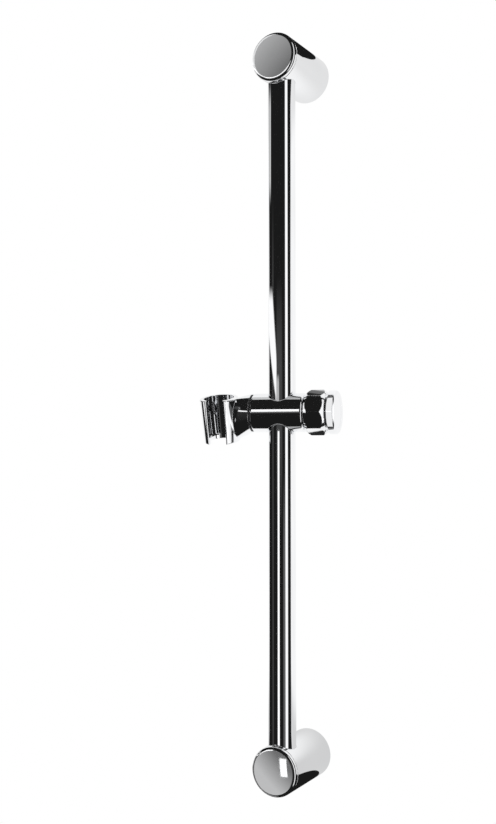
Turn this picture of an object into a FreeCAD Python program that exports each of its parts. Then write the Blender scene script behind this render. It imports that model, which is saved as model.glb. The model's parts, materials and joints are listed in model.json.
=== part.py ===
import FreeCAD, Part
import math
import os
import re

import Sketcher
from FreeCAD import Vector

# A shower slide rail: a round tube between two wall brackets, and a slider on the tube with a
# clamp knob on its right end and a tilting hand shower holder on its left end.
# Frame: the wall is the plane y = 0, -y is the front, +z runs up the rail, +x is to the right,
# and the origin lies on the wall halfway between the two fixing holes.

# Driving sizes in millimetres, and the swivel and tilt in degrees
SIZES = {
    # Rail: the tube and how it stands off the wall
    "overall_height": 600,
    "tube_diameter": 22,
    "tube_wall": 1,
    "tube_stop": 7,
    "rail_offset": 48,
    "front_overhang": 16,
    # Wall brackets
    "bracket_diameter": 39,
    "bracket_wall": 3,
    "bracket_floor": 6,
    "socket_wall": 1.5,
    "stop_thickness": 2,
    "screw_hole": 5.5,
    "screw_head": 10.5,
    "wall_chamfer": 0.6,
    "seam_chamfer": 0.35,
    # Front caps of the brackets
    "cap_thickness": 4.6,
    "cap_round": 3,
    "cap_crown": 0.6,
    "skirt_length": 6,
    "skirt_wall": 2,
    # Slider body and its bushes
    "slider_height": -1.5,
    "slider_swivel": 12,
    "slider_diameter": 31,
    "body_left": 23,
    "body_right": 20,
    "body_round": 2,
    "bore_clearance": 0.4,
    "land_height": 11,
    "bush_height": 3.6,
    "bush_wall": 1.4,
    # Brake pad, threaded insert and clamp stud
    "pad_diameter": 9,
    "pad_gap": 0.3,
    "pad_thickness": 3.1,
    "pad_travel": 1,
    "insert_diameter": 11,
    "stud_diameter": 6,
    "stud_head_flats": 10,
    "stud_head_height": 4,
    "tip_chamfer": 0.6,
    # Knob
    "knob_gap": 1,
    "knob_corners": 36,
    "grip_length": 16.5,
    "grip_chamfer": 3.2,
    "grip_chamfer_depth": 2.2,
    "neck_diameter": 30,
    "neck_length": 1.5,
    "hub_length": 10,
    "washer_diameter": 16,
    "washer_thickness": 0.9,
    # End cap of the knob
    "end_diameter": 34.5,
    "end_length": 7,
    "end_round": 2.2,
    "end_spigot": 22,
    "end_spigot_length": 3.6,
    "dish_diameter": 25,
    "dish_depth": 0.6,
    # Holder: socket, neck and pivot
    "holder_tilt": 15,
    "holder_reach": 52,
    "holder_above": 13,
    "holder_below": 23,
    "holder_top_diameter": 31.3,
    "holder_bottom_diameter": 29.5,
    "socket_top_diameter": 24.5,
    "socket_bottom_diameter": 21,
    "slot_width": 14,
    "lip_front": 12.4,
    "lip_land": 4,
    "lip_round": 1.2,
    "rim_round": 1,
    "neck_inset": 12,
    "neck_depth": 15,
    "neck_above": 12,
    "neck_below": 22,
    "spigot_diameter": 18,
    "spigot_length": 4,
    "ring_thickness": 1,
    "ring_inset": 0.8,
    # Holder screw and its washers
    "pivot_screw": 4,
    "pivot_screw_head": 7.6,
    "pivot_head_height": 2.6,
    "pivot_web": 8,
    "pivot_thread": 11,
    "pivot_recess": 10.6,
    "flat_washer": 9.6,
    "flat_thickness": 0.8,
    "spring_washer": 9,
    "spring_thickness": 0.6,
    "spring_rise": 0.5,
    # Clearances: pushed-in pieces, running fits, faces that meet, and free holes
    "push_clearance": 0.05,
    "running_clearance": 0.05,
    "face_clearance": 0.05,
    "free_clearance": 0.3,
}

KNOB_SIDES = 8
HEX_SIDES = 6

# Lengths that follow from the sizes, written as expressions
TUBE_R = "tube_diameter / 2"
TUBE_LENGTH = "(overall_height - bracket_diameter - 2 * tube_stop)"
FIXING_HALF = "(overall_height - bracket_diameter) / 2"
BRACKET_R = "bracket_diameter / 2"
BRACKET_LENGTH = "(rail_offset + front_overhang - cap_thickness)"
CAVITY_R = "(bracket_diameter / 2 - bracket_wall)"
CROWN_MIDDLE = "((bracket_diameter / 2 - cap_round) / 2)"
CROWN_SLOPE = f"atan(cap_crown / ({BRACKET_R} - {CROWN_MIDDLE}))"
CROWN_R = f"0.95 * {CROWN_MIDDLE} / tan({CROWN_SLOPE} / 2)"
SLIDER_R = "slider_diameter / 2"
BUSH_INNER_R = "(tube_diameter / 2 + running_clearance)"
BUSH_OUTER_R = f"({BUSH_INNER_R} + bush_wall)"
PAD_BACK = "(tube_diameter / 2 + pad_gap + pad_thickness)"
INSERT_SEAT = f"({PAD_BACK} + pad_travel)"
STUD_R = "stud_diameter / 2"
KNOB_LEFT = "(body_right + knob_gap)"
GRIP_END = f"({KNOB_LEFT} + grip_length)"
NECK_END = f"({GRIP_END} + neck_length)"
STUD_SEAT = f"({KNOB_LEFT} + hub_length)"
CAP_END = f"({NECK_END} + face_clearance + end_length)"
HOLDER_FACE = "(body_left + ring_thickness + face_clearance)"
SPIGOT_END = "(body_left + spigot_length)"
PIVOT_SEAT = f"({SPIGOT_END} + pivot_web)"
SPRING_FACE = f"({PIVOT_SEAT} + face_clearance)"
FLAT_FACE = f"({SPRING_FACE} + spring_thickness + spring_rise)"
SCREW_SEAT = f"({FLAT_FACE} + flat_thickness)"

doc = FreeCAD.newDocument("shower_slide_rail")
sheet = doc.addObject("Spreadsheet::Sheet", "sizes")
for row, (alias, number) in enumerate(SIZES.items(), start=1):
    sheet.set(f"A{row}", str(number))
    sheet.setAlias(f"A{row}", alias)
doc.recompute()


def cells(text):
    """Turn the size names of an expression into references to the sheet."""
    return re.sub(r"[a-z_]+", lambda word: f"sizes.{word[0]}" if word[0] in SIZES else word[0], text)


def number_of(text):
    result = sheet.evalExpression(cells(text))
    return float(getattr(result, "Value", result))


# Sketches

def sketch_on(body, name, role, shift=None):
    """A sketch on one of the body's own planes, moved along x, y and z of that plane."""
    sketch = body.newObject("Sketcher::SketchObject", name)
    plane = next(item for item in body.Origin.OriginFeatures if item.Role == role)
    sketch.AttachmentSupport = [(plane, "")]
    sketch.MapMode = "FlatFace"
    for axis, text in (shift or {}).items():
        sketch.setExpression(f"AttachmentOffset.Base.{axis}", cells(text))
    return sketch


def bind(sketch, kind, items, text):
    """A dimension of the sketch that follows an expression."""
    index = sketch.addConstraint(Sketcher.Constraint(kind, *items, number_of(text)))
    sketch.setExpression(f"Constraints[{index}]", cells(text))


def locate(sketch, geometry, end, across, up):
    """Hold one point of the sketch at two expressions."""
    for kind, text, axis in (("DistanceX", across, -2), ("DistanceY", up, -1)):
        if abs(number_of(text)) < 1e-9:
            sketch.addConstraint(Sketcher.Constraint("PointOnObject", geometry, end, axis))
        else:
            bind(sketch, kind, (-1, 1, geometry, end), text)


def circle(sketch, radius, across="0", up="0"):
    centre = Vector(number_of(across), number_of(up), 0)
    geometry = sketch.addGeometry(Part.Circle(centre, Vector(0, 0, 1), number_of(radius)), False)
    locate(sketch, geometry, 3, across, up)
    bind(sketch, "Radius", (geometry,), radius)


def ellipse(sketch, half_across, half_up, across, up):
    """An upright ellipse, taller than it is wide, held at its centre and two of its ends."""
    centre = Vector(number_of(across), number_of(up), 0)
    top = centre + Vector(0, number_of(half_up), 0)
    side = centre + Vector(number_of(half_across), 0, 0)
    curve = sketch.addGeometry(Part.Ellipse(top, side, centre), False)
    sketch.exposeInternalGeometry(curve)
    long_axis, short_axis = curve + 1, curve + 2
    locate(sketch, curve, 3, across, up)
    sketch.addConstraint(Sketcher.Constraint("Vertical", long_axis))
    bind(sketch, "Distance", (long_axis,), f"2 * ({half_up})")
    bind(sketch, "Distance", (short_axis,), f"2 * ({half_across})")


def corner_arc(before, corner, after, radius):
    """The arc that rounds a corner, and which of its ends the outline reaches first."""
    back = (before - corner).normalize()
    ahead = (after - corner).normalize()
    half = back.getAngle(ahead) / 2
    entry = corner + back * (radius / math.tan(half))
    leave = corner + ahead * (radius / math.tan(half))
    centre = corner + (back + ahead).normalize() * (radius / math.sin(half))
    forward = back.cross(ahead).z < 0
    first, last = (entry, leave) if forward else (leave, entry)
    turn = [math.atan2(point.y - centre.y, point.x - centre.x) for point in (first, last)]
    arc = Part.ArcOfCircle(Part.Circle(centre, Vector(0, 0, 1), radius), turn[0], turn[1])
    return entry, leave, arc, (1, 2) if forward else (2, 1)


def outline(sketch, corners):
    """A closed outline; a corner is (across, up) or (across, up, rounding radius)."""
    points = [Vector(number_of(corner[0]), number_of(corner[1]), 0) for corner in corners]
    count = len(corners)
    starts, stops, arcs = list(points), list(points), {}
    for i, corner in enumerate(corners):
        if len(corner) == 3:
            entry, leave, arc, ends = corner_arc(
                points[i - 1], points[i], points[(i + 1) % count], number_of(corner[2])
            )
            stops[i], starts[i] = entry, leave
            arcs[i] = (arc, ends)
    lines = [
        sketch.addGeometry(Part.LineSegment(starts[i], stops[(i + 1) % count]), False)
        for i in range(count)
    ]
    for i, corner in enumerate(corners):
        arriving, leaving = lines[i - 1], lines[i]
        if i not in arcs:
            sketch.addConstraint(Sketcher.Constraint("Coincident", arriving, 2, leaving, 1))
            locate(sketch, leaving, 1, corner[0], corner[1])
            continue
        arc, (entry_end, leave_end) = arcs[i]
        rounding = sketch.addGeometry(arc, False)
        sketch.addConstraint(Sketcher.Constraint("Tangent", arriving, 2, rounding, entry_end))
        sketch.addConstraint(Sketcher.Constraint("Tangent", leaving, 1, rounding, leave_end))
        bind(sketch, "Radius", (rounding,), corner[2])
        sharp = sketch.addGeometry(Part.Point(points[i]), True)
        locate(sketch, sharp, 1, corner[0], corner[1])
        sketch.addConstraint(Sketcher.Constraint("PointOnObject", sharp, 1, arriving))
        sketch.addConstraint(Sketcher.Constraint("PointOnObject", sharp, 1, leaving))


def polygon(sketch, radius, sides, turn):
    angles = [360 * i / sides + turn for i in range(sides)]
    outline(sketch, [(f"({radius}) * cos({a} deg)", f"({radius}) * sin({a} deg)") for a in angles])


# Features

def new_body(label):
    body = doc.addObject("PartDesign::Body", label)
    body.Label = label
    return body


def finish_feature(body, feature, cuts):
    """Recompute, and stop if a cut removed nothing or an addition added nothing."""
    before = feature.BaseFeature.Shape.Volume if feature.BaseFeature else 0
    doc.recompute()
    gain = feature.Shape.Volume - before
    if (gain >= -1e-6) if cuts else (gain <= 1e-6):
        raise RuntimeError(f"{body.Label}: {feature.Name} changed nothing")
    return feature


def extrude(body, name, sketch, length=None, cuts=False, back=False, both=False):
    """A pad, or with cuts a pocket; no length means through everything."""
    feature = body.newObject("PartDesign::Pocket" if cuts else "PartDesign::Pad", name)
    feature.Profile = sketch
    feature.Reversed = back
    if both:
        feature.SideType = "Symmetric"
    if length is None:
        feature.Type = "ThroughAll"
    else:
        feature.setExpression("Length", cells(length))
    return finish_feature(body, feature, cuts)


def turn(body, name, sketch, axis, cuts=False, angle=360, back=False):
    """A revolution, or with cuts a groove, about an axis of its sketch."""
    feature = body.newObject("PartDesign::Groove" if cuts else "PartDesign::Revolution", name)
    feature.Profile = sketch
    feature.ReferenceAxis = (sketch, [axis])
    feature.Angle = angle
    feature.Reversed = back
    return finish_feature(body, feature, cuts)


def put(body, x="0", y="0", z="0", turns=(("0; 0; 1", "0"),)):
    """Place a body by expressions; each turn is an axis and an angle, and the last is made first."""
    base = f"vector({cells(x)}; {cells(y)}; {cells(z)})"
    turned = " * ".join(f"rotation(vector({axis}); {cells(angle)})" for axis, angle in turns)
    body.setExpression("Placement", f"placement({base}; {turned})")


def put_on_wall(body, side):
    """Pieces of a bracket are drawn about its screw hole, for the upper end of the rail."""
    put(body, "0", "0", f"{side} * {FIXING_HALF}", [("0; 1; 0", "0" if side > 0 else "180")])


def put_on_rail(body, tilt="0"):
    """Pieces of the slider are drawn about the point where its axis crosses the tube's axis."""
    turns = [("0; 0; 1", "slider_swivel"), ("1; 0; 0", tilt)]
    put(body, "0", "-rail_offset", "slider_height", turns)


# Rail

def make_tube():
    body = new_body("rail_tube")
    ring = sketch_on(body, "tube_ring", "XY_Plane")
    circle(ring, TUBE_R)
    circle(ring, f"{TUBE_R} - tube_wall")
    extrude(body, "tube_length", ring, TUBE_LENGTH, both=True)
    put(body, "0", "-rail_offset", "0")


def make_bracket(label, side):
    """A cup on the wall with a countersunk hole in its floor and a closed socket for the tube."""
    body = new_body(label)
    shell = sketch_on(body, f"{label}_shell", "XY_Plane")
    outline(shell, [
        ("screw_hole / 2", "0"),
        (f"{BRACKET_R} - wall_chamfer", "0"),
        (BRACKET_R, "-wall_chamfer"),
        (BRACKET_R, f"-{BRACKET_LENGTH} + seam_chamfer"),
        (f"{BRACKET_R} - seam_chamfer", f"-{BRACKET_LENGTH}"),
        (CAVITY_R, f"-{BRACKET_LENGTH}"),
        (CAVITY_R, "-bracket_floor"),
        ("screw_head / 2", "-bracket_floor"),
        ("screw_hole / 2", "-bracket_floor + (screw_head - screw_hole) / 2"),
    ])
    turn(body, f"{label}_cup", shell, "V_Axis")

    # The socket is drawn long, then trimmed to the cup's own outside and front
    socket = sketch_on(body, f"{label}_socket", "XY_Plane", {"z": "stop_thickness - tube_stop"})
    circle(socket, f"{TUBE_R} + push_clearance + socket_wall", up="-rail_offset")
    extrude(body, f"{label}_collar", socket, f"{BRACKET_R} - tube_stop", back=True)
    trim = sketch_on(body, f"{label}_trim", "XY_Plane")
    outline(trim, [
        ("0", f"-{BRACKET_LENGTH}"),
        (f"{BRACKET_R} - seam_chamfer", f"-{BRACKET_LENGTH}"),
        (BRACKET_R, f"-{BRACKET_LENGTH} + seam_chamfer"),
        (BRACKET_R, "-bracket_floor"),
        ("bracket_diameter", "-bracket_floor"),
        ("bracket_diameter", f"-{BRACKET_LENGTH} - cap_thickness"),
        ("0", f"-{BRACKET_LENGTH} - cap_thickness"),
    ])
    turn(body, f"{label}_trimmed", trim, "V_Axis", cuts=True)
    bore = sketch_on(body, f"{label}_bore", "XY_Plane", {"z": "-tube_stop"})
    circle(bore, f"{TUBE_R} + push_clearance", up="-rail_offset")
    extrude(body, f"{label}_tube_bore", bore, cuts=True)
    put_on_wall(body, side)


def make_cap(label, side):
    """A faintly crowned front cap whose half skirt pushes into the bracket beside the tube's end."""
    body = new_body(label)
    disc = sketch_on(body, f"{label}_disc", "XY_Plane")
    outline(disc, [
        ("0", f"-{BRACKET_LENGTH}"),
        (f"{BRACKET_R} - seam_chamfer", f"-{BRACKET_LENGTH}"),
        (BRACKET_R, f"-{BRACKET_LENGTH} - seam_chamfer"),
        (BRACKET_R, f"-{BRACKET_LENGTH} - cap_thickness + cap_crown", "cap_round"),
        (CROWN_MIDDLE, f"-{BRACKET_LENGTH} - cap_thickness", CROWN_R),
        ("0", f"-{BRACKET_LENGTH} - cap_thickness"),
    ])
    turn(body, f"{label}_front", disc, "V_Axis")
    skirt = sketch_on(body, f"{label}_skirt", "XY_Plane")
    outline(skirt, [
        (f"{CAVITY_R} - push_clearance - skirt_wall", f"-{BRACKET_LENGTH}"),
        (f"{CAVITY_R} - push_clearance", f"-{BRACKET_LENGTH}"),
        (f"{CAVITY_R} - push_clearance", f"-{BRACKET_LENGTH} + skirt_length"),
        (f"{CAVITY_R} - push_clearance - skirt_wall", f"-{BRACKET_LENGTH} + skirt_length"),
    ])
    turn(body, f"{label}_half_skirt", skirt, "V_Axis", angle=180, back=True)
    put_on_wall(body, side)


# Slider

def make_slider_body():
    body = new_body("slider_body")
    half = sketch_on(body, "slider_half", "XY_Plane")
    outline(half, [
        (f"-{SPIGOT_END}", "pivot_screw / 2 + push_clearance"),
        (f"-{SPIGOT_END}", "spigot_diameter / 2"),
        ("-body_left", "spigot_diameter / 2"),
        ("-body_left", SLIDER_R, "body_round"),
        ("body_right", SLIDER_R, "body_round"),
        ("body_right", "insert_diameter / 2"),
        (INSERT_SEAT, "insert_diameter / 2"),
        (INSERT_SEAT, "pad_diameter / 2 + running_clearance"),
        ("0", "pad_diameter / 2 + running_clearance"),
        ("0", "0"),
        (f"-{SPIGOT_END} + pivot_thread + free_clearance", "0"),
        (f"-{SPIGOT_END} + pivot_thread + free_clearance", "pivot_screw / 2 + push_clearance"),
    ])
    turn(body, "slider_turned", half, "H_Axis")
    land = sketch_on(body, "slider_land", "XY_Plane")
    circle(land, f"{TUBE_R} + bore_clearance")
    extrude(body, "slider_tube_bore", land, cuts=True, both=True)
    for name, sign in (("upper", 1), ("lower", -1)):
        seat = sketch_on(body, f"slider_{name}_seat", "XY_Plane", {"z": f"{sign} * land_height / 2"})
        circle(seat, f"{BUSH_OUTER_R} + running_clearance")
        extrude(body, f"slider_{name}_counterbore", seat, cuts=True, back=sign > 0)
    put_on_rail(body)


def make_bush(label, sign):
    """A plain ring that runs on the tube; the slider swivels on the outside of it."""
    body = new_body(label)
    seat = f"{sign} * (land_height / 2 + face_clearance)"
    ring = sketch_on(body, f"{label}_ring", "XY_Plane", {"z": seat})
    circle(ring, BUSH_OUTER_R)
    circle(ring, BUSH_INNER_R)
    extrude(body, f"{label}_height", ring, "bush_height", back=sign < 0)
    put_on_rail(body)


def make_ring(label, start, length, inner, outer):
    """A flat ring about the slider's axis, from start towards +x."""
    body = new_body(label)
    ring = sketch_on(body, f"{label}_ring", "YZ_Plane", {"z": start})
    circle(ring, outer)
    circle(ring, inner)
    extrude(body, f"{label}_thickness", ring, length)
    put_on_rail(body)


def make_brake_pad():
    body = new_body("brake_pad")
    plug = sketch_on(body, "pad_plug", "YZ_Plane", {"z": "tube_diameter / 4"})
    circle(plug, "pad_diameter / 2")
    extrude(body, "pad_length", plug, f"{PAD_BACK} - tube_diameter / 4")
    hollow = sketch_on(body, "pad_hollow", "XY_Plane")
    circle(hollow, f"{TUBE_R} + pad_gap")
    extrude(body, "pad_saddle", hollow, cuts=True, both=True)
    put_on_rail(body)


def make_clamp_stud():
    body = new_body("clamp_stud")
    shank = sketch_on(body, "stud_half", "XY_Plane")
    tip = f"{PAD_BACK} + face_clearance"
    outline(shank, [
        (tip, "0"),
        (tip, f"{STUD_R} - tip_chamfer"),
        (f"{tip} + tip_chamfer", STUD_R),
        (f"{STUD_SEAT} + stud_head_height", STUD_R),
        (f"{STUD_SEAT} + stud_head_height", "0"),
    ])
    turn(body, "stud_shank", shank, "H_Axis")
    head = sketch_on(body, "stud_hexagon", "YZ_Plane", {"z": STUD_SEAT})
    polygon(head, f"stud_head_flats / 2 / cos({180 / HEX_SIDES} deg)", HEX_SIDES, 0)
    extrude(body, "stud_head", head, "stud_head_height")
    put_on_rail(body)


def make_knob():
    """An eight-sided grip with turned-off corners, a short round neck and a stepped bore."""
    body = new_body("knob")
    grip = sketch_on(body, "knob_grip", "YZ_Plane", {"z": KNOB_LEFT})
    polygon(grip, "knob_corners / 2", KNOB_SIDES, 0)
    extrude(body, "knob_prism", grip, "grip_length")
    corners = sketch_on(body, "knob_corner_cuts", "XY_Plane")
    for end, inward in ((KNOB_LEFT, "+"), (GRIP_END, "-")):
        outline(corners, [
            (end, "knob_corners / 2 - grip_chamfer_depth"),
            (end, "knob_corners / 2"),
            (f"{end} {inward} grip_chamfer", "knob_corners / 2"),
        ])
    turn(body, "knob_chamfers", corners, "H_Axis", cuts=True)
    neck = sketch_on(body, "knob_neck", "YZ_Plane", {"z": GRIP_END})
    circle(neck, "neck_diameter / 2")
    extrude(body, "knob_neck_length", neck, "neck_length")
    bore = sketch_on(body, "knob_bore", "YZ_Plane", {"z": KNOB_LEFT})
    circle(bore, f"{STUD_R} + push_clearance")
    extrude(body, "knob_stud_bore", bore, cuts=True, back=True)
    pocket = sketch_on(body, "knob_hexagon", "YZ_Plane", {"z": STUD_SEAT})
    polygon(pocket, f"(stud_head_flats / 2 + push_clearance) / cos({180 / HEX_SIDES} deg)", HEX_SIDES, 0)
    extrude(body, "knob_head_pocket", pocket, cuts=True, back=True)
    bore_floor = f"{NECK_END} - end_spigot_length - free_clearance"
    socket = sketch_on(body, "knob_end_bore", "YZ_Plane", {"z": bore_floor})
    circle(socket, "end_spigot / 2 + push_clearance")
    extrude(body, "knob_end_socket", socket, cuts=True, back=True)
    put_on_rail(body)


def make_knob_cap():
    body = new_body("knob_cap")
    seat = f"({NECK_END} + face_clearance)"
    half = sketch_on(body, "cap_half", "XY_Plane")
    outline(half, [
        (f"{NECK_END} - end_spigot_length", "0"),
        (f"{NECK_END} - end_spigot_length", "end_spigot / 2"),
        (seat, "end_spigot / 2"),
        (seat, "end_diameter / 2", "end_round / 2"),
        (CAP_END, "end_diameter / 2", "end_round"),
        (CAP_END, "dish_diameter / 2"),
        (f"{CAP_END} - dish_depth", "dish_diameter / 2 - dish_depth"),
        (f"{CAP_END} - dish_depth", "0"),
    ])
    turn(body, "cap_turned", half, "H_Axis")
    put_on_rail(body)


# Holder

def make_holder():
    """A tapered open-fronted socket on a neck that blends into the round end of the slider."""
    body = new_body("holder")
    wall = sketch_on(body, "holder_wall", "XZ_Plane", {"x": "-holder_reach"})
    outline(wall, [
        ("0", "-holder_below"),
        ("holder_bottom_diameter / 2", "-holder_below", "rim_round"),
        ("holder_top_diameter / 2", "holder_above", "rim_round"),
        ("0", "holder_above"),
    ])
    turn(body, "holder_cone", wall, "V_Axis")

    # Neck: from the round end of the slider to a tall ellipse inside the back of the socket
    start = sketch_on(body, "neck_start", "YZ_Plane", {"z": f"-{HOLDER_FACE}"})
    circle(start, SLIDER_R)
    end = sketch_on(body, "neck_end", "YZ_Plane", {"z": "-holder_reach + neck_inset"})
    ellipse(end, "neck_depth / 2", "(neck_above + neck_below) / 2", "0", "(neck_above - neck_below) / 2")
    neck = body.newObject("PartDesign::AdditiveLoft", "holder_neck")
    neck.Profile = (start, [""])
    neck.Sections = [(end, [""])]
    finish_feature(body, neck, cuts=False)

    # Tapered socket, and the slot that lets the hose through from the front between two rounded lips
    taper = sketch_on(body, "socket_half", "XZ_Plane", {"x": "-holder_reach"})
    outline(taper, [
        ("0", "-holder_below"),
        ("socket_bottom_diameter / 2", "-holder_below"),
        ("socket_top_diameter / 2", "holder_above"),
        ("0", "holder_above"),
    ])
    turn(body, "holder_socket", taper, "V_Axis", cuts=True)
    slot = sketch_on(body, "slot_outline", "XY_Plane", {"x": "-holder_reach"})
    outline(slot, [
        ("-slot_width / 2", "0"),
        ("-slot_width / 2", "-lip_front", "lip_round"),
        ("-slot_width / 2 - lip_land", "-lip_front"),
        ("-slot_width / 2 - lip_land", "-holder_top_diameter"),
        ("slot_width / 2 + lip_land", "-holder_top_diameter"),
        ("slot_width / 2 + lip_land", "-lip_front"),
        ("slot_width / 2", "-lip_front", "lip_round"),
        ("slot_width / 2", "0"),
    ])
    extrude(body, "holder_slot", slot, cuts=True, both=True)

    # Pivot: a recess for the slider's spigot, and a stepped hole for the screw
    recess = sketch_on(body, "pivot_recess_outline", "YZ_Plane", {"z": f"-{SPIGOT_END} - free_clearance"})
    circle(recess, "spigot_diameter / 2 + running_clearance")
    extrude(body, "pivot_spigot_recess", recess, cuts=True, back=True)
    hole = sketch_on(body, "pivot_hole_outline", "YZ_Plane", {"z": f"-{PIVOT_SEAT}"})
    circle(hole, "pivot_screw / 2 + free_clearance")
    extrude(body, "pivot_hole", hole, cuts=True, back=True)
    head = sketch_on(body, "pivot_head_outline", "YZ_Plane", {"z": f"-{PIVOT_SEAT}"})
    circle(head, "pivot_recess / 2")
    extrude(body, "pivot_head_recess", head, f"holder_reach - {PIVOT_SEAT}", cuts=True)
    put_on_rail(body, "holder_tilt")


def make_holder_screw():
    body = new_body("holder_screw")
    half = sketch_on(body, "pivot_screw_half", "XY_Plane")
    head_end = f"(-{SCREW_SEAT} - pivot_head_height)"
    outline(half, [
        (head_end, "0"),
        (head_end, "pivot_screw_head / 2", "pivot_head_height / 2"),
        (f"-{SCREW_SEAT}", "pivot_screw_head / 2"),
        (f"-{SCREW_SEAT}", "pivot_screw / 2"),
        (f"-{SPIGOT_END} + pivot_thread - tip_chamfer", "pivot_screw / 2"),
        (f"-{SPIGOT_END} + pivot_thread", "pivot_screw / 2 - tip_chamfer"),
        (f"-{SPIGOT_END} + pivot_thread", "0"),
    ])
    turn(body, "pivot_screw_turned", half, "H_Axis")
    put_on_rail(body)


def make_spring_washer():
    """A coned washer that keeps the holder pressed against its friction ring."""
    body = new_body("spring_washer")
    half = sketch_on(body, "spring_half", "XY_Plane")
    hole = "pivot_screw / 2 + free_clearance"
    outline(half, [
        (f"-{SPRING_FACE}", "spring_washer / 2"),
        (f"-{SPRING_FACE} - spring_thickness", "spring_washer / 2"),
        (f"-{SPRING_FACE} - spring_thickness - spring_rise", hole),
        (f"-{SPRING_FACE} - spring_rise", hole),
    ])
    turn(body, "spring_coned", half, "H_Axis")
    put_on_rail(body)


make_tube()
for place, side in (("top", 1), ("bottom", -1)):
    make_bracket(f"{place}_bracket", side)
    make_cap(f"{place}_cap", side)
make_slider_body()
make_bush("upper_bush", 1)
make_bush("lower_bush", -1)
make_brake_pad()
make_ring(
    "threaded_insert", INSERT_SEAT, f"body_right - {INSERT_SEAT}",
    f"{STUD_R} + running_clearance", "insert_diameter / 2 - push_clearance",
)
make_clamp_stud()
make_knob()
make_ring(
    "knob_washer", f"{KNOB_LEFT} - washer_thickness", "washer_thickness",
    f"{STUD_R} + running_clearance", "washer_diameter / 2",
)
make_knob_cap()
make_ring(
    "friction_ring", "-body_left - ring_thickness", "ring_thickness",
    "spigot_diameter / 2 + free_clearance", f"{SLIDER_R} - ring_inset",
)
make_holder()
make_spring_washer()
make_ring(
    "flat_washer", f"-{SCREW_SEAT}", "flat_thickness",
    "pivot_screw / 2 + push_clearance", "flat_washer / 2",
)
make_holder_screw()
doc.recompute()

# Check every object, then write one file for each piece
for item in doc.Objects:
    if "Invalid" in item.State or "Error" in item.State:
        raise RuntimeError(f"{item.Label} did not compute: {item.State}")
pieces = [item for item in doc.Objects if item.TypeId == "PartDesign::Body"]
for piece in pieces:
    if piece.Shape.isNull() or not piece.Shape.isValid() or len(piece.Shape.Solids) != 1:
        raise RuntimeError(f"{piece.Label} is not one sound solid")
os.makedirs("parts", exist_ok=True)
for piece in pieces:
    piece.Shape.exportStep(f"parts/{piece.Label}.step")
    print(f"{piece.Label}: {piece.Shape.Volume / 1000:.2f} cm3")
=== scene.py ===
import json
import math

import bpy
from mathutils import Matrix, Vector


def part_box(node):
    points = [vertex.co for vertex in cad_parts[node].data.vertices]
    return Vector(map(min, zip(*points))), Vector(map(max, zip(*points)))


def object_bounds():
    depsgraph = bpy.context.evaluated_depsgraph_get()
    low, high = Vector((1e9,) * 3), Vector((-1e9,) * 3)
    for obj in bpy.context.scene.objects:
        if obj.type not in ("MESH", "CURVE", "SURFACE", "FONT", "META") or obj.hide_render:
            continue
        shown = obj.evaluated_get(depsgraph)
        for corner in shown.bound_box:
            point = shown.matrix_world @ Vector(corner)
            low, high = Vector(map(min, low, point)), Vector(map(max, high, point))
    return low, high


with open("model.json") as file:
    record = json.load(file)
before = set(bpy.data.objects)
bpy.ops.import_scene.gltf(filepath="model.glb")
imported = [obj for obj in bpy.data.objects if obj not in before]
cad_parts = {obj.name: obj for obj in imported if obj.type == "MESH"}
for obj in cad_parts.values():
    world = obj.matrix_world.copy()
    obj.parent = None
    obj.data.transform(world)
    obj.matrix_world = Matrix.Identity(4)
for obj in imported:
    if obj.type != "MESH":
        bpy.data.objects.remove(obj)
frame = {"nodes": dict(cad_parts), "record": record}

# Looks of a chrome shower slide rail, in metres, in the frame of its solids:
# the wall is y = 0, -y is the front, +z is up, and the tube stands on x = 0.
cad_low, cad_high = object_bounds()

# Camera, as fitted to the photograph
CAMERA_AT = Vector((0.38856, -0.79034, -0.02839))
CAMERA_YAW = math.radians(29.478)
CAMERA_PITCH = math.radians(1.888)
CAMERA_CLIP = (0.01, 50.0)
FOCAL_PIXELS = 1053.4
IMAGE_HEIGHT = 824
SENSOR_MM = 36.0

# Floor, well below the rail
FLOOR_DROP = 0.45
FLOOR_HALF = 1.6
FLOOR_GREY = (0.55, 0.55, 0.55, 1.0)

WHITE = (1.0, 1.0, 1.0, 1.0)

# Glowing cards just behind the wall's plane stand for the white wall. Their strength is WALL_BRIGHT
# along the rail, and goes over to WALL_TOP and WALL_BOTTOM behind the brackets, between the two
# distances from mid-height in WALL_CHANGE. A faint mottle lies over it.
WALL_GAP = 0.002
WALL_SIDE = 0.19
WALL_BELOW = 0.001
WALL_ABOVE = 0.004
WALL_BRIGHT = 1.02
WALL_TOP = 0.85
WALL_BOTTOM = 0.73
WALL_CHANGE = (0.23, 0.27)
MOTTLE = (0.92, 1.0)
MOTTLE_SCALE = 9.0
MOTTLE_DETAIL = 2.0

# The knob mirrors a card of its own, behind the other one, with darker bands: the z span of each
# band, and the share of the strength that it takes off
KNOB_WALL_GAP = 0.003
KNOB_BANDS = [
    ((0.058, 0.070), 0.45),
    ((0.0616, 0.070), 0.7),
    ((0.0655, 0.070), 0.85),
    ((-0.0757, -0.060), 0.98),
]
KNOB_BAND_SOFT = 0.0005

# A lamp's fade is (across, up), (start, end) and a far radiance. With x and y from 0 to 1 over the
# lamp, its radiance goes over to the far one while across * x + up * y goes from start to end.
TUBE_FADE = ((1, 0), (0.0, 1.0), 0.25)
BRACKET_FADE = ((0, 1), (0.1, 0.9), 0.9)
TOP_CAP_FADE = ((-1, 1), (-0.53, 0.36), 0.42)
BOTTOM_CAP_FADE = ((-1, -1), (-1.19, -0.854), 0.54)

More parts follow.
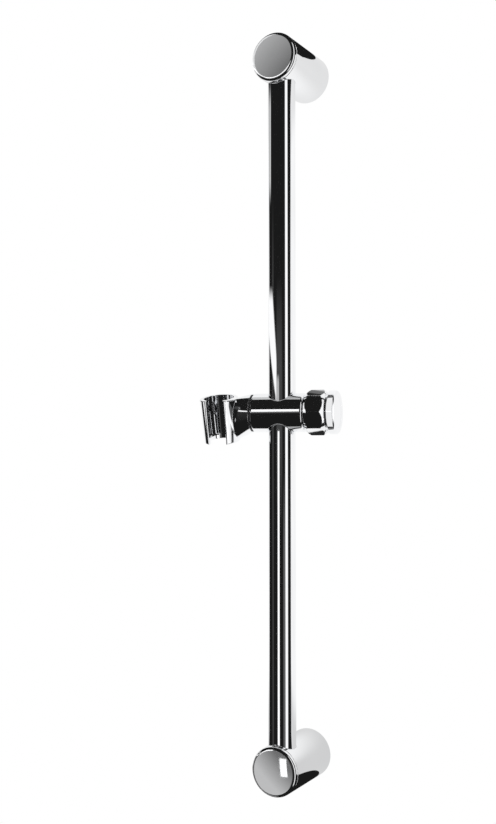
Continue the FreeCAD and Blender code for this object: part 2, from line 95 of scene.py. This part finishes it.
# Each lamp has a name, the nodes that alone mirror it, its bearing and height in degrees and its
# distance as seen from the first of these nodes, its width and height, its radiance and its fade.
# The bearing counts from the front (-y) towards +x.
BRACKETS = ["top_bracket", "bottom_bracket"]
LAMPS = [
    ("slider_strip", ["slider_body"], -3.6, 12.0, 0.28, (0.075, 0.056), 1.3, None),
    ("slider_top", ["slider_body"], -105.0, 69.0, 1.0, (0.43, 0.43), 0.6, None),
    ("knob_left", ["knob"], -84.0, 15.0, 1.0, (0.65, 0.54), 0.85, None),
    ("knob_bevel_upper", ["knob"], 86.0, 42.0, 1.0, (0.33, 0.33), 0.9, None),
    ("knob_bevel_lower", ["knob"], 80.0, -34.0, 1.0, (0.32, 0.32), 1.0, None),
    ("tube_strip", ["rail_tube"], -1.45, -15.6, 1.04, (0.275, 0.58), 1.1, None),
    ("tube_floor", ["rail_tube"], 10.0, -62.0, 2.5, (4.0, 1.7), 0.6, TUBE_FADE),
    ("tube_ceiling", ["rail_tube"], 10.0, 62.0, 2.5, (4.0, 1.7), 0.6, TUBE_FADE),
    ("bracket_right", BRACKETS, 90.0, 26.0, 2.5, (2.0, 1.6), 0.25, BRACKET_FADE),
    ("bracket_left", BRACKETS, -90.0, 26.0, 2.5, (2.0, 1.6), 0.25, BRACKET_FADE),
    ("bracket_ceiling", BRACKETS, 180.0, 62.0, 2.5, (2.0, 0.8), 0.7, None),
    ("holder_flank", ["holder"], 92.0, -18.0, 1.0, (0.62, 0.5), 1.0, None),
    ("holder_lips", ["holder"], -9.6, -26.5, 1.0, (0.09, 0.12), 0.95, None),
    ("top_cap_fill", ["top_cap"], -27.0, 22.0, 3.0, (1.27, 1.27), 0.13, TOP_CAP_FADE),
    ("top_cap_upper_rim", ["top_cap"], -68.0, 25.0, 3.0, (3.4, 3.4), 0.75, None),
    ("top_cap_edge", ["top_cap"], -118.0, 19.0, 3.0, (2.67, 1.2), 0.8, None),
    ("top_cap_lower_rim", ["top_cap"], -17.0, -2.0, 3.0, (2.4, 1.25), 1.0, None),
    ("bottom_cap_fill", ["bottom_cap"], -27.5, -17.0, 3.0, (2.0, 2.0), 0.16, BOTTOM_CAP_FADE),
    ("bottom_cap_edge", ["bottom_cap"], -98.0, -22.0, 3.0, (5.6, 2.6), 0.13, None),
    ("bottom_cap_foot", ["bottom_cap"], -82.0, -56.0, 3.0, (2.4, 1.5), 0.2, None),
    ("bottom_cap_rim", ["bottom_cap"], -34.0, 5.0, 3.0, (0.68, 1.17), 1.0, None),
    ("bottom_cap_window", ["bottom_cap"], -23.7, -14.9, 3.0, (0.135, 0.3), 1.0, None),
    ("knob_end_fill", ["knob_cap"], 91.0, 0.0, 1.0, (1.2, 1.2), 0.95, None),
    ("knob_end_front", ["knob_cap"], -4.0, 0.0, 0.25, (0.4, 3.0), 0.9, None),
]

# World: a dark studio with bright patches for the chrome to mirror. Each patch is a span of bearing
# and of height, in degrees, its strength, and how soft its sides and its upper and lower ends are.
# Front patches count their bearing from the front (-y) towards +x, rear patches from the wall side
# towards +x.
STUDIO_DARK = 0.011
FRONT_PATCHES = [
    ((55.0, 76.5), (-50.0, 55.0), 1.05, 2.5, 4.0),
    ((38.0, 55.0), (-45.0, -3.0), 0.13, 8.0, 3.0),
    ((-102.0, -77.0), (13.6, 18.7), 0.6, 2.5, 0.8),
    ((-30.0, 3.0), (2.3, 3.8), 0.5, 3.0, 0.3),
    ((-62.0, -46.0), (-25.0, 12.0), 0.05, 6.0, 4.0),
    ((-20.0, 30.0), (-3.0, 7.5), 0.06, 10.0, 4.0),
]
REAR_PATCHES = [
    ((-76.0, 75.0), (-12.0, 12.0), 1.0, 4.0, 3.0),
]
# The streak is a front patch cut by two leaning sides: for each side its bearing at height 0, the
# change of bearing for each degree of height, and the share of the brightness before and after it
STREAK = ((-140.0, -19.0), (2.3, 8.3), 1.05, 5.0, 0.5)
STREAK_SIDES = [
    (38.6, -24.0, (0.0, 1.0)),
    (34.2, -11.0, (1.0, 0.0)),
]
STREAK_SOFT = 6.0

# Materials by the record's slot: how metallic, the darker and the lighter colour, the lowest and the
# highest roughness, the noise's scale, the bump's strength, and the radius that rounds the corners
MATERIALS = {
    "chrome_tube": (1.0, (0.90, 0.91, 0.92), (0.95, 0.95, 0.96), (0.015, 0.035), 22.0, 0.01, 0.0),
    "chrome_moulding": (1.0, (0.88, 0.89, 0.90), (0.94, 0.94, 0.95), (0.02, 0.045), 30.0, 0.015, 0.0005),
    "bearing_plastic": (0.0, (0.74, 0.74, 0.71), (0.84, 0.84, 0.82), (0.38, 0.5), 160.0, 0.08, 0.0),
    "friction_rubber": (0.0, (0.018, 0.018, 0.019), (0.035, 0.035, 0.036), (0.55, 0.75), 240.0, 0.15, 0.0),
    "insert_brass": (1.0, (0.66, 0.48, 0.20), (0.76, 0.59, 0.29), (0.18, 0.32), 190.0, 0.06, 0.0),
    "plain_steel": (1.0, (0.52, 0.52, 0.53), (0.66, 0.66, 0.67), (0.2, 0.34), 210.0, 0.06, 0.0),
}
# Most of a noise lies in NOISE_SPAN. Colour and bump follow one noise, and roughness a finer one.
NOISE_SPAN = (0.3, 0.7)
NOISE_DETAIL = 5.0
FINE_TIMES = 9.0
FINE_DETAIL = 3.0
BUMP_DISTANCE = 0.0004
BEVEL_SAMPLES = 8

# Sockets of the mix node that hold colours
MIX_FIRST = 6
MIX_SECOND = 7
MIX_RESULT = 2


# Helpers

class Nodes:
    """Adds nodes to one tree and links them."""

    def __init__(self, tree):
        self.tree = tree
        tree.nodes.clear()

    def add(self, kind, inputs=None, **settings):
        node = self.tree.nodes.new(kind)
        for name, value in settings.items():
            setattr(node, name, value)
        for name, value in (inputs or {}).items():
            self.feed(node.inputs[name], value)
        return node

    def feed(self, socket, value):
        if isinstance(value, bpy.types.NodeSocket):
            self.tree.links.new(value, socket)
        else:
            socket.default_value = value

    def math(self, operation, *values):
        node = self.add("ShaderNodeMath", operation=operation)
        for socket, value in zip(node.inputs, values):
            self.feed(socket, value)
        return node.outputs[0]

    def remap(self, value, low, high, to_low=0.0, to_high=1.0, smooth=True):
        node = self.add(
            "ShaderNodeMapRange",
            {"Value": value, "From Min": low, "From Max": high, "To Min": to_low, "To Max": to_high},
            interpolation_type="SMOOTHSTEP" if smooth else "LINEAR",
        )
        return node.outputs["Result"]

    def band(self, value, low, high, soft):
        """1 between low and high, falling to 0 across each of them, over soft either way."""
        rise = self.remap(value, low - soft, low + soft)
        fall = self.remap(value, high - soft, high + soft, 1.0, 0.0)
        return self.math("MULTIPLY", rise, fall)

    def glow(self, strength):
        return self.add("ShaderNodeEmission", {"Strength": strength, "Color": WHITE}).outputs[0]


def add_object(name, data):
    item = bpy.data.objects.new(name, data)
    bpy.context.collection.objects.link(item)
    return item


def add_sheet(name, corners):
    """A flat mesh between four corners."""
    mesh = bpy.data.meshes.new(name)
    mesh.from_pydata(corners, [], [(0, 1, 2, 3)])
    return add_object(name, mesh)


def new_material(name):
    material = bpy.data.materials.new(name)
    material.use_nodes = True
    return material, Nodes(material.node_tree)


# Light

def make_world():
    world = bpy.data.worlds.new("studio")
    world.use_nodes = True
    nodes = Nodes(world.node_tree)
    direction = nodes.add("ShaderNodeTexCoord").outputs["Generated"]
    x, y, z = nodes.add("ShaderNodeSeparateXYZ", {"Vector": direction}).outputs
    degrees = 180.0 / math.pi
    front = nodes.math("MULTIPLY", y, -1.0)
    from_front = nodes.math("MULTIPLY", nodes.math("ARCTAN2", x, front), degrees)
    from_rear = nodes.math("MULTIPLY", nodes.math("ARCTAN2", x, y), degrees)
    height = nodes.math("MULTIPLY", nodes.math("ARCSINE", z), degrees)

    def make_patch(bearing, around, up, strength, soft, soft_up):
        wide = nodes.band(bearing, *around, soft)
        tall = nodes.band(height, *up, soft_up)
        return nodes.math("MULTIPLY", nodes.math("MULTIPLY", wide, tall), strength)

    brightness = make_patch(from_front, *STREAK)
    for start, lean, levels in STREAK_SIDES:
        upright = nodes.math("SUBTRACT", from_front, nodes.math("MULTIPLY", height, lean))
        side = nodes.remap(upright, start - STREAK_SOFT, start + STREAK_SOFT, *levels)
        brightness = nodes.math("MULTIPLY", brightness, side)
    brightness = nodes.math("MAXIMUM", brightness, STUDIO_DARK)
    for bearing, patches in ((from_front, FRONT_PATCHES), (from_rear, REAR_PATCHES)):
        for patch in patches:
            brightness = nodes.math("MAXIMUM", brightness, make_patch(bearing, *patch))

    # Mirrors see the patches; matt surfaces get even light, and the camera sees white
    mirror = nodes.add("ShaderNodeLightPath").outputs["Is Glossy Ray"]
    even = nodes.math("SUBTRACT", 1.0, mirror)
    strength = nodes.math("ADD", nodes.math("MULTIPLY", brightness, mirror), even)
    studio = nodes.add("ShaderNodeBackground", {"Strength": strength, "Color": WHITE})
    nodes.add("ShaderNodeOutputWorld", {"Surface": studio.outputs[0]})
    bpy.context.scene.world = world


def show_in_mirrors(source, receivers):
    """This lamp or card shows only in reflections, on the named nodes alone."""
    lit = bpy.data.collections.new(f"{source.name}_receivers")
    for receiver in receivers:
        lit.objects.link(frame["nodes"][receiver])
    source.light_linking.receiver_collection = lit
    source.visible_camera = False
    source.visible_diffuse = False


def make_wall_card(name, gap, receivers, bands, clear):
    """White wall behind the rail, with darker bands; through a clear card, what is behind it shows."""
    low = cad_low.z - WALL_BELOW
    high = cad_high.z + WALL_ABOVE
    card = add_sheet(name, [
        (-WALL_SIDE, gap, low), (WALL_SIDE, gap, low), (WALL_SIDE, gap, high), (-WALL_SIDE, gap, high),
    ])
    material, nodes = new_material(name)
    place = nodes.add("ShaderNodeTexCoord").outputs["Object"]
    z = nodes.add("ShaderNodeSeparateXYZ", {"Vector": place}).outputs["Z"]
    cloud = nodes.add(
        "ShaderNodeTexNoise", {"Vector": place, "Scale": MOTTLE_SCALE, "Detail": MOTTLE_DETAIL}
    )
    mottle = nodes.remap(cloud.outputs["Fac"], *NOISE_SPAN, *MOTTLE)
    upper = nodes.remap(z, *WALL_CHANGE, WALL_BRIGHT, WALL_TOP)
    lower = nodes.remap(nodes.math("MULTIPLY", z, -1.0), *WALL_CHANGE, WALL_BRIGHT, WALL_BOTTOM)
    strength = nodes.math("MULTIPLY", mottle, nodes.math("MINIMUM", upper, lower))
    for span, share in bands:
        taken = nodes.math("MULTIPLY", nodes.band(z, *span, KNOB_BAND_SOFT), share)
        strength = nodes.math("MULTIPLY", strength, nodes.math("SUBTRACT", 1.0, taken))
    surface = nodes.glow(strength)
    if clear:
        behind = nodes.add("ShaderNodeBsdfTransparent").outputs[0]
        surface = nodes.add("ShaderNodeAddShader", {0: surface, 1: behind}).outputs[0]
    nodes.add("ShaderNodeOutputMaterial", {"Surface": surface})
    card.data.materials.append(material)
    show_in_mirrors(card, receivers)


def make_lamp(name, receivers, bearing, height, distance, size, radiance, fade):
    lamp = bpy.data.lights.new(name, "AREA")
    lamp.shape = "RECTANGLE"
    lamp.size, lamp.size_y = size
    # With this energy, the node's strength is the radiance
    lamp.energy = math.pi * size[0] * size[1]
    lamp.use_nodes = True
    nodes = Nodes(lamp.node_tree)
    strength = radiance
    if fade:
        (across, up), (start, end), far_radiance = fade
        place = nodes.add("ShaderNodeNewGeometry").outputs["Parametric"]
        x, y, _ = nodes.add("ShaderNodeSeparateXYZ", {"Vector": place}).outputs
        along = nodes.math("ADD", nodes.math("MULTIPLY", x, across), nodes.math("MULTIPLY", y, up))
        strength = nodes.remap(along, start, end, radiance, far_radiance, smooth=False)
    nodes.add("ShaderNodeOutputLight", {"Surface": nodes.glow(strength)})
    panel = add_object(name, lamp)
    low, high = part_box(receivers[0])
    turn, rise = math.radians(bearing), math.radians(height)
    away = Vector((math.sin(turn) * math.cos(rise), -math.cos(turn) * math.cos(rise), math.sin(rise)))
    panel.location = (low + high) / 2 + away * distance
    panel.rotation_euler = away.to_track_quat("Z", "Y").to_euler()
    show_in_mirrors(panel, receivers)


# Materials

def make_material(name, metallic, dark, light, rough, scale, bump, edge):
    """Colour and roughness that wander with a noise, and a faint bump."""
    material, nodes = new_material(name)
    place = nodes.add("ShaderNodeTexCoord").outputs["Object"]
    noise = nodes.add("ShaderNodeTexNoise", {"Vector": place, "Scale": scale, "Detail": NOISE_DETAIL})
    wander = noise.outputs["Fac"]
    colour = nodes.add("ShaderNodeMix", data_type="RGBA")
    nodes.feed(colour.inputs["Factor"], wander)
    nodes.feed(colour.inputs[MIX_FIRST], (*dark, 1.0))
    nodes.feed(colour.inputs[MIX_SECOND], (*light, 1.0))
    fine_scale = scale * FINE_TIMES
    fine = nodes.add("ShaderNodeTexNoise", {"Vector": place, "Scale": fine_scale, "Detail": FINE_DETAIL})
    relief = nodes.add("ShaderNodeBump", {"Height": wander, "Strength": bump, "Distance": BUMP_DISTANCE})
    if edge:
        corner = nodes.add("ShaderNodeBevel", {"Radius": edge}, samples=BEVEL_SAMPLES)
        nodes.feed(relief.inputs["Normal"], corner.outputs[0])
    shader = nodes.add("ShaderNodeBsdfPrincipled", {
        "Base Color": colour.outputs[MIX_RESULT],
        "Metallic": metallic,
        "Roughness": nodes.remap(fine.outputs["Fac"], *NOISE_SPAN, *rough),
        "Normal": relief.outputs[0],
    })
    nodes.add("ShaderNodeOutputMaterial", {"Surface": shader.outputs[0]})
    return material


# Floor and camera

def make_floor():
    """White to the camera, pale grey under the light, and left out of reflections."""
    half = FLOOR_HALF
    z = cad_low.z - FLOOR_DROP
    floor = add_sheet("floor", [(-half, -half, z), (half, -half, z), (half, half, z), (-half, half, z)])
    material, nodes = new_material("pale_floor")
    matte = nodes.add("ShaderNodeBsdfDiffuse", {"Color": FLOOR_GREY}).outputs[0]
    seen = nodes.add("ShaderNodeLightPath").outputs["Is Camera Ray"]
    mixed = nodes.add("ShaderNodeMixShader", {0: seen, 1: matte, 2: nodes.glow(1.0)})
    nodes.add("ShaderNodeOutputMaterial", {"Surface": mixed.outputs[0]})
    floor.data.materials.append(material)
    floor.visible_glossy = False


def make_camera():
    data = bpy.data.cameras.new("camera")
    data.sensor_width = SENSOR_MM
    data.lens = SENSOR_MM * FOCAL_PIXELS / IMAGE_HEIGHT
    data.clip_start, data.clip_end = CAMERA_CLIP
    camera = add_object("camera", data)
    level = math.cos(CAMERA_PITCH)
    ahead = Vector((-math.sin(CAMERA_YAW) * level, math.cos(CAMERA_YAW) * level, math.sin(CAMERA_PITCH)))
    camera.location = CAMERA_AT
    camera.rotation_euler = ahead.to_track_quat("-Z", "Y").to_euler()
    bpy.context.scene.camera = camera


make_world()
others = [name for name in frame["nodes"] if name != "knob"]
make_wall_card("wall_card", WALL_GAP, others, bands=[], clear=True)
make_wall_card("knob_wall_card", KNOB_WALL_GAP, ["knob"], bands=KNOB_BANDS, clear=False)
for lamp in LAMPS:
    make_lamp(*lamp)
make_floor()
make_camera()
materials = {slot: make_material(slot, *finish) for slot, finish in MATERIALS.items()}
for subpart in frame["record"]["subparts"]:
    node = frame["nodes"][subpart["node"]]
    node.data.materials.clear()
    node.data.materials.append(materials[subpart["material_slot"]])

bpy.context.scene.view_settings.view_transform = "Standard"
